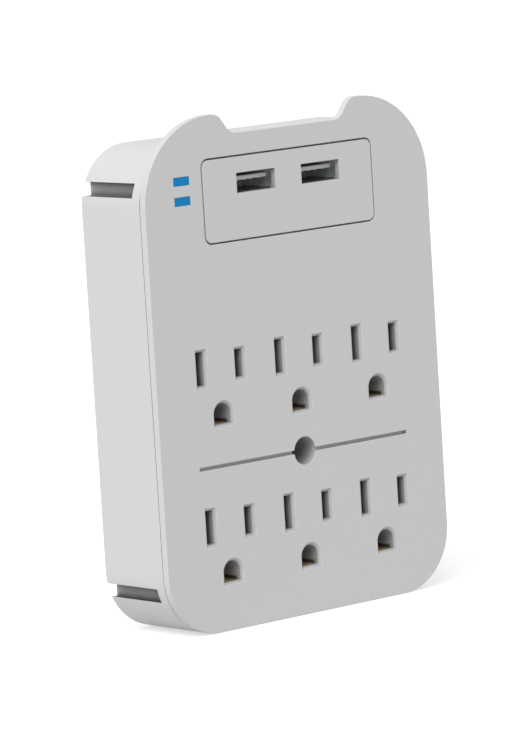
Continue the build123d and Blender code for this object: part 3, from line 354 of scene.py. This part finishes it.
def painted_shade_in_recesses(tree, colour, deep, shallow, exposed=1.0, alone=True, slots=None, holes=None,
                       seam=None, facing_up=None):
    """Painted shade: the colour darker in slots, grooves and gaps a few millimetres wide than on the open
    surface.
    With alone, only the piece's own walls count."""
    shade = tree.nodes.new("ShaderNodeAmbientOcclusion")
    shade.samples = 12
    shade.only_local = alone
    shade.inputs["Distance"].default_value = PAINTED_SHADE_REACH
    open_share = shade.outputs["AO"]
    share = graded(tree, open_share, ((IN_DEEP, deep), (IN_SHALLOW, shallow), (IN_OPEN, exposed)))
    if seam is not None:
        y = coordinate(tree, "Object")[1]
        start, end = SEAM_SHADE_FADE
        share = maths(tree, "MULTIPLY", share, spread(tree, y, seam, 1, start * MM, end * MM))
    if facing_up is not None:
        up = coordinate(tree, "Normal")[2]
        share = maths(tree, "MULTIPLY", share, spread(tree, up, 1, facing_up, *UP_SHADE_FADE))
    if slots is not None:
        share = painted_shade_in_sockets(tree, share, open_share, slots, holes)
    mix = tree.nodes.new("ShaderNodeMix")
    mix.data_type, mix.blend_type = "RGBA", "MULTIPLY"
    mix.inputs[0].default_value = 1.0
    tree.links.new(colour, mix.inputs[6])
    tree.links.new(share, mix.inputs[7])
    return mix.outputs[2]


def surface(name):
    """A moulded, pressed or drawn surface: two near tones, uneven gloss and a fine grain."""
    colour, tint, rough, tone, (grain, height), metallic = FINISHES[name]
    mat, tree, out = shader(name)
    base = tree.nodes.new("ShaderNodeBsdfPrincipled")
    base.inputs["Metallic"].default_value = metallic
    for socket, value in EXTRAS.get(name, {}).items():
        base.inputs[socket].default_value = value
    where = tree.nodes.new("ShaderNodeTexCoord").outputs["Object"]
    if name in STRETCHES:
        scale = tree.nodes.new("ShaderNodeMapping")
        scale.inputs["Scale"].default_value = STRETCHES[name]
        tree.links.new(where, scale.inputs["Vector"])
        where = scale.outputs[0]
    shade = ramp(tree, noise(tree, where, tone, 4.0), ((0.3, colour), (0.7, tint)))
    # Painted shade in recesses, for the finishes that have it.
    if name in PAINTED_RECESS_SHADE:
        shade = painted_shade_in_recesses(tree, shade, **PAINTED_RECESS_SHADE[name])
    tree.links.new(shade, base.inputs["Base Color"])
    tree.links.new(spread(tree, noise(tree, where, 0.4 * tone, 3.0), *rough), base.inputs["Roughness"])
    bump = tree.nodes.new("ShaderNodeBump")
    bump.inputs["Strength"].default_value = 1.0
    bump.inputs["Distance"].default_value = height * 1e-6
    tree.links.new(noise(tree, where, grain, 3.0, 0.6), bump.inputs["Height"])
    tree.links.new(bump.outputs[0], base.inputs["Normal"])
    tree.links.new(base.outputs[0], out.inputs[0])
    return mat


# ---------------------------------------------------------------- meshes
def add_mesh(name, bm, smooth=None):
    """A new object from bm; with smooth, edges flatter than that many degrees are shaded smooth."""
    data = bpy.data.meshes.new(name)
    bmesh.ops.recalc_face_normals(bm, faces=bm.faces)
    bm.to_mesh(data)
    bm.free()
    obj = bpy.data.objects.new(name, data)
    scene.collection.objects.link(obj)
    if smooth is not None:
        finished(obj, smooth)
    return obj


def finished(obj, angle=35):
    """obj with the edges flatter than an angle in degrees shaded smooth."""
    obj.data.shade_smooth()
    obj.data.set_sharp_from_angle(angle=radians(angle))
    return obj


def place(obj, node):
    """obj stands for a CAD node: same body, same finish."""
    obj.data.materials.clear()
    obj.data.materials.append(FINISH[SLOT[node]])
    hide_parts(node)
    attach(obj, nodes[node]["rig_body"])
    return obj


def piece(node, name, bm):
    """A new mesh in place of a CAD node."""
    return place(add_mesh(name, bm, 35), node)


def applied(obj):
    """obj with its modifiers made part of its mesh."""
    bpy.context.view_layer.update()
    shaped = bpy.data.meshes.new_from_object(obj.evaluated_get(bpy.context.evaluated_depsgraph_get()))
    obj.modifiers.clear()
    obj.data = shaped
    return obj


def extent(node):
    """Where a node is, in millimetres: its middle in x and z, and its front and back in y."""
    low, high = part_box(node)
    return (low[0] + high[0]) / 2 / MM, (low[2] + high[2]) / 2 / MM, low[1] / MM, high[1] / MM


def merged(node, margin, planes):
    """The CAD node's shape, welded, without its imported normals and with its flat faces whole. Those that
    lie in one of the planes, given by their Y in millimetres, have holes: they keep their triangles, inside
    an even margin."""
    near, flat = 2e-6, radians(0.6)
    bm = bmesh.new()
    source = nodes[node].data
    corners = [bm.verts.new(v.co) for v in source.vertices]
    for face in source.polygons:
        bm.faces.new([corners[i] for i in face.vertices])
    bmesh.ops.remove_doubles(bm, verts=bm.verts, dist=near)

    def lies_in(part, y):
        return all(abs(v.co.y - y * MM) < near for v in part.verts)

    edges = [e for e in bm.edges if not any(lies_in(e, y) for y in planes)]
    bmesh.ops.dissolve_limit(
        bm, angle_limit=flat, use_dissolve_boundaries=False, verts=[], edges=edges, delimit=set())
    for y in planes:
        faces = [f for f in bm.faces if lies_in(f, y)]
        bmesh.ops.inset_region(
            bm, faces=faces, thickness=margin * MM, use_even_offset=True, use_boundary=True)
    return bm


def soften(node, radius, limit=32.0, planes=()):
    """The node with its edges rounded to a radius in millimetres."""
    obj = add_mesh("soft_" + node, merged(node, EDGE_MARGIN * radius, planes))
    mod = obj.modifiers.new("round", "BEVEL")
    mod.width, mod.segments = radius * MM, EDGE_STEPS
    mod.limit_method, mod.angle_limit = "ANGLE", radians(limit)
    mod.use_clamp_overlap = False
    mod.miter_outer = "MITER_ARC"
    mod.harden_normals = True
    obj.data.shade_smooth()
    return place(applied(obj), node)


def quarter(steps):
    """The sine and cosine at each step of a quarter turn."""
    return [(sin(pi / 2 * k / steps), cos(pi / 2 * k / steps)) for k in range(steps + 1)]


def turned(bm, profile, x=0.0, z=0.0, sides=64, axis="y", centre=0.0):
    """A turned shape about a line along Y through (x, z), in millimetres, its profile as (radius, y) from end
    to end, or back to its start for a ring. With axis x or z, the line runs that way through y = centre."""
    rings = []
    for radius, y in profile:
        ring = []
        for k in range(sides if radius else 1):
            across, up = radius * cos(tau * k / sides), radius * sin(tau * k / sides)
            at = {"x": (y, centre + across, up), "y": (across, y, up), "z": (up, centre + across, y)}[axis]
            ring.append(bm.verts.new((Vector((x, 0, z)) + Vector(at)) * MM))
        rings.append(ring)
    if profile[0] == profile[-1]:
        rings[-1] = rings[0]
    for one, two in zip(rings, rings[1:]):
        for k in range(sides):
            n = k + 1
            corners = [one[k % len(one)], one[n % len(one)], two[n % len(two)], two[k % len(two)]]
            corners = list(dict.fromkeys(corners))
            if len(corners) > 2:
                bm.faces.new(corners)


def threaded(bm, radius, pitch, start, end, x=0.0, z=0.0, point=0.7, lead=0.5, sides=40, rows=9):
    """A right-hand screw thread along Y from start, where it runs out over a lead, to its end, which tapers
    over its point: rolled crests on a thinner core, with so many rows of points to a turn."""
    depth, length = 0.6 * pitch, abs(end - start)
    crest_height, flank = 1.65, 4.1
    count = int(length / pitch * rows)
    taper = depth + 0.3 * radius
    grid = []
    for row in range(count + 1):
        along = length * row / count
        y = start + (end - start) * row / count
        run_out = min(1.0, along / lead)
        most = radius - taper * max(0.0, 1 - (length - along) / point)
        ring = []
        for k in range(sides):
            phase = (y / pitch + k / sides) % 1.0
            crest = max(0.0, min(1.0, crest_height - flank * abs(phase - 0.5)))
            r = min(radius - depth * (1 - crest * run_out), most)
            angle = tau * k / sides
            ring.append(bm.verts.new(Vector((x + r * cos(angle), y, z + r * sin(angle))) * MM))
        grid.append(ring)
    for one, two in zip(grid, grid[1:]):
        for k in range(sides):
            n = (k + 1) % sides
            bm.faces.new([one[k], one[n], two[n], two[k]])
    bm.faces.new(grid[0])
    bm.faces.new(list(reversed(grid[-1])))
    bmesh.ops.recalc_face_normals(bm, faces=bm.faces)


def add_threads(obj, centres, *sizes, **shape):
    """A thread added to obj at each centre, in x and z."""
    bm = bmesh.new()
    bm.from_mesh(obj.data)
    for x, z in centres:
        threaded(bm, *sizes, x, z, **shape)
    bm.to_mesh(obj.data)
    bm.free()
    return finished(obj)


def block(bm, low, high):
    """A box from low to high, in millimetres, as one part of a larger mesh."""
    made = bmesh.ops.create_cube(bm, size=1.0)["verts"]
    size, middle = Vector(high) - Vector(low), (Vector(high) + Vector(low)) / 2
    for v in made:
        v.co = Vector([(middle[k] + v.co[k] * size[k]) * MM for k in range(3)])
    return made


def cut(obj, tool):
    """obj less the tool's mesh."""
    mod = obj.modifiers.new("cut", "BOOLEAN")
    mod.operation, mod.solver, mod.object = "DIFFERENCE", "EXACT", tool
    applied(obj)
    bpy.data.objects.remove(tool)


def clusters(node, gap=0.0035):
    """Middles in x and z, in millimetres, of the node's separate solids."""
    groups = []
    for v in nodes[node].data.vertices:
        x, z = v.co.x, v.co.z
        for group in groups:
            west, east, low, high = group
            if west - gap < x < east + gap and low - gap < z < high + gap:
                group[:] = [min(west, x), max(east, x), min(low, z), max(high, z)]
                break
        else:
            groups.append([x, x, z, z])
    return [((west + east) / 2 / MM, (low + high) / 2 / MM) for west, east, low, high in groups]


# ---------------------------------------------------------------- pieces
def mounting_screw():
    """A slotted oval head, a plain shank, and a thread of 32 to the inch."""
    head, top, under, rounding, flat, fillet, chamfer = 3.45, -10.6, -8.0, 0.9, 1.2, 0.25, 0.3
    shank_end, thread_start, thread_end = -0.25, -0.45, 12.0
    slot_half, slot_floor, past = 0.5, -9.4, 4
    dome = [(head - rounding + rounding * s, top + 1.1 * rounding * (1 - c)) for s, c in quarter(8)]
    shank = [(head, under - chamfer), (head - chamfer, under), (SHANK_RADIUS + fillet, under),
             (SHANK_RADIUS, under + fillet), (SHANK_RADIUS, shank_end), (0, shank_end)]
    bm = bmesh.new()
    turned(bm, [(0, top), (flat, top), *dome, *shank])
    screw = add_mesh("mounting_screw_thread", bm)
    slot = bmesh.new()
    block(slot, (-past, -11, -slot_half), (past, slot_floor, slot_half))
    cut(screw, add_mesh("slot_tool", slot))
    add_threads(screw, [(0.0, 0.0)], SCREW_RADIUS, SCREW_PITCH, thread_start, thread_end)
    return place(screw, "mounting_screw")


def retaining_washer():
    """A fibre ring with rounded edges."""
    outer, inner, front, back, edge = 3.75, 1.4, -2.05, -0.55, 0.2
    bm = bmesh.new()
    turned(bm, [
        (inner, front + edge), (inner + edge, front), (outer - edge, front), (outer, front + edge),
        (outer, back - edge), (outer - edge, back), (inner + edge, back), (inner, back - edge),
        (inner, front + edge)])
    return piece("retaining_washer", "fibre_washer", bm)


def case_screws():
    """Pan heads with a cross recess, and a coarse thread for plastic."""
    head, seat, top, rounding, chamfer = 2.7, -3.0, -1.2, 0.9, 0.25
    shank, shank_length, radius, pitch, length = 0.95, 1.2, 1.3, 1.06, 12.0
    long, short, recess, narrowing = 1.55, 0.32, 1.15, 0.55
    centres = clusters("case_screws")
    dome = [(head - rounding + rounding * s, top - 1.0 * (1 - c)) for s, c in quarter(6)]
    profile = [(0, top), *dome, (head, seat + chamfer), (head - chamfer, seat), (shank, seat),
               (shank, seat - shank_length), (0, seat - shank_length)]
    bm = bmesh.new()
    for x, z in centres:
        turned(bm, profile, x, z, 48)
    screws = add_mesh("case_screw_heads", bm)
    for wide, high in ((long, short), (short, long)):
        tool = bmesh.new()
        for x, z in centres:
            for v in block(tool, (x - wide, top - recess, z - high), (x + wide, top + 0.5, z + high)):
                if v.co.y < (top - 1) * MM:
                    v.co.x = (x + (v.co.x / MM - x) * narrowing) * MM
                    v.co.z = (z + (v.co.z / MM - z) * narrowing) * MM
        cut(screws, add_mesh("recess_tool", tool))
    add_threads(
        screws, centres, radius, pitch, seat - 0.9, seat - length, point=3.0, lead=0.6, sides=28, rows=7)
    return place(screws, "case_screws")


def plug_blade(node):
    """A blade with rounded edges and its round hole, which flares at both faces."""
    blade = soften(node, 0.22, 25)
    x, z, _, tip = extent(node)
    hole, flare, hole_to_tip = 1.55, 0.2, 9.4
    tool = bmesh.new()
    turned(tool, [
        (0, -1.2), (hole + 0.5, -1.2), (hole + flare, -0.9), (hole, -0.6),
        (hole, 0.6), (hole + flare, 0.9), (hole + 0.5, 1.2), (0, 1.2)], x, z, 40, "x", tip - hole_to_tip)
    cut(blade, add_mesh("hole_tool", tool))
    return finished(blade, 30)


def earth_pin(node):
    """A turned pin with a domed end, the collar at its root, and the square tenon behind."""
    _, z, tenon_end, tip = extent(node)
    radius, nose, collar, chamfer, root, half = 2.38, 2.2, 2.78, 0.12, -2.0, 1.2
    dome = [(radius * c, tip - nose + nose * s) for s, c in quarter(12)]
    foot = [(0, root), (collar, root), (collar, -chamfer), (collar - chamfer, 0), (radius, 0)]
    bm = bmesh.new()
    turned(bm, [*foot, *dome[:-1], (0, tip)], 0, z)
    block(bm, (-half, tenon_end, z - half), (half, -1.9, z + half))
    return piece(node, node + "_turned", bm)


def cans(node, radius, length, centres):
    """Capacitor cans: a rolled groove near the board, a rounded rim and a pressed top."""
    foot, rim, groove = USB_BOARD_Y, 0.5, 0.35
    top = foot - length
    arc = [(radius - rim + rim * c, top + rim - rim * s) for s, c in reversed(quarter(4))]
    neck = [(radius, foot - 1.9), (radius - groove, foot - 1.6), (radius - groove, foot - 1.3),
            (radius, foot - 1.0)]
    profile = [(0, top + 0.3), (radius - 1.1, top + 0.3), (radius - 0.8, top), *arc, *neck,
               (radius, foot - 0.2), (radius - 0.2, foot), (0, foot)]
    bm = bmesh.new()
    for x, z in centres:
        turned(bm, profile, x, z, 48)
    return piece(node, node + "_round", bm)


def varistors():
    """Dipped discs on edge, with their leads."""
    radius, standoff, pitch, middle_x = 7.0, 1.4, 7.5, -4.6
    wire, lead_top, half_spread = 0.33, -11.5, 3.75
    y = SURGE_BOARD_Y - standoff - radius
    rim = [(6.5 + 0.45 * sin(pi * k / 8), 2.1 * -cos(pi * k / 8)) for k in range(9)]
    disc = [(0, -2.25), (4, -2.25), (5.6, -2.2), *rim, (5.6, 2.2), (4, 2.25), (0, 2.25)]
    lead = [(0, lead_top), (wire, lead_top), (wire, SURGE_BOARD_Y), (0, SURGE_BOARD_Y)]
    bm = bmesh.new()
    for step in (-1, 0, 1):
        x = middle_x + pitch * step
        turned(bm, disc, x, SURGE_PARTS_Z, 56, "x", y)
        for side in (-half_spread, half_spread):
            turned(bm, lead, x, SURGE_PARTS_Z + side, 16)
    return piece("varistors", "dipped_discs", bm)


def thermal_fuse():
    """A round cut-out with its wires bent back to the board."""
    x, y, z, wire = -17.6, -10.0, SURGE_PARTS_Z, 0.34
    body = [(0, -3.5), (1.5, -3.5), (1.9, -3.2), (1.98, -2.9), (1.98, 2.9), (1.9, 3.2), (1.5, 3.5), (0, 3.5)]
    down = [(0, y - 0.3), (wire, y - 0.2), (wire, SURGE_BOARD_Y), (0, SURGE_BOARD_Y)]
    bm = bmesh.new()
    turned(bm, body, x, z, 32, "z", y)
    for side in (-1, 1):
        out = [(0, side * 3.3), (wire, side * 3.3), (wire, side * 5.0), (0, side * 5.0)]
        turned(bm, out, x, z, 16, "z", y)
        turned(bm, down, x, z + side * 5.1, 16)
    return piece("thermal_fuse", "fuse_round", bm)


def lamp(node):
    """A domed lamp with its flange."""
    x, z, tip, _ = extent(node)
    radius, flange, flange_y = 1.3, 1.5, -10.0
    dome = [(radius * s, tip + radius * (1 - c)) for s, c in quarter(8)]
    bm = bmesh.new()
    turned(bm, [*dome, (radius, flange_y - 0.1), (flange, flange_y), (flange, USB_BOARD_Y), (0, USB_BOARD_Y)],
           x, z, 40)
    return piece(node, node + "_dome", bm)


SLOT = {node: obj.data.materials[0].name for node, obj in nodes.items()}
for old in list(bpy.data.materials):
    old.name = "cad_" + old.name
FINISH = {name: surface(name) for name in FINISHES}
for node, obj in nodes.items():
    obj.data.materials[0] = FINISH[SLOT[node]]

camera()
studio()
floor()
soften("front_cover", 0.15, planes=(FACE_Y, SEAM_Y, SLOT_COLLARS_Y, EARTH_COLLARS_Y))
soften("rear_housing", 0.15, planes=(BACK_WALL_Y, 0.0))
soften("usb_panel", 0.08, planes=(FACE_Y, SEAM_Y, FLANGE_Y))
mounting_screw()
retaining_washer()
case_screws()
for row in ("upper", "lower"):
    plug_blade(row + "_hot_blade")
    plug_blade(row + "_neutral_blade")
    earth_pin(row + "_ground_pin")
cans("input_capacitor", 4.0, 11.0, [(-24.4, 63.6)])
cans("output_capacitors", 3.15, 8.6, [(-6.0, 60.2), (2.0, 60.2)])
varistors()
thermal_fuse()
lamp("power_lamp")
lamp("surge_lamp")

scene.view_settings.view_transform = "Standard"
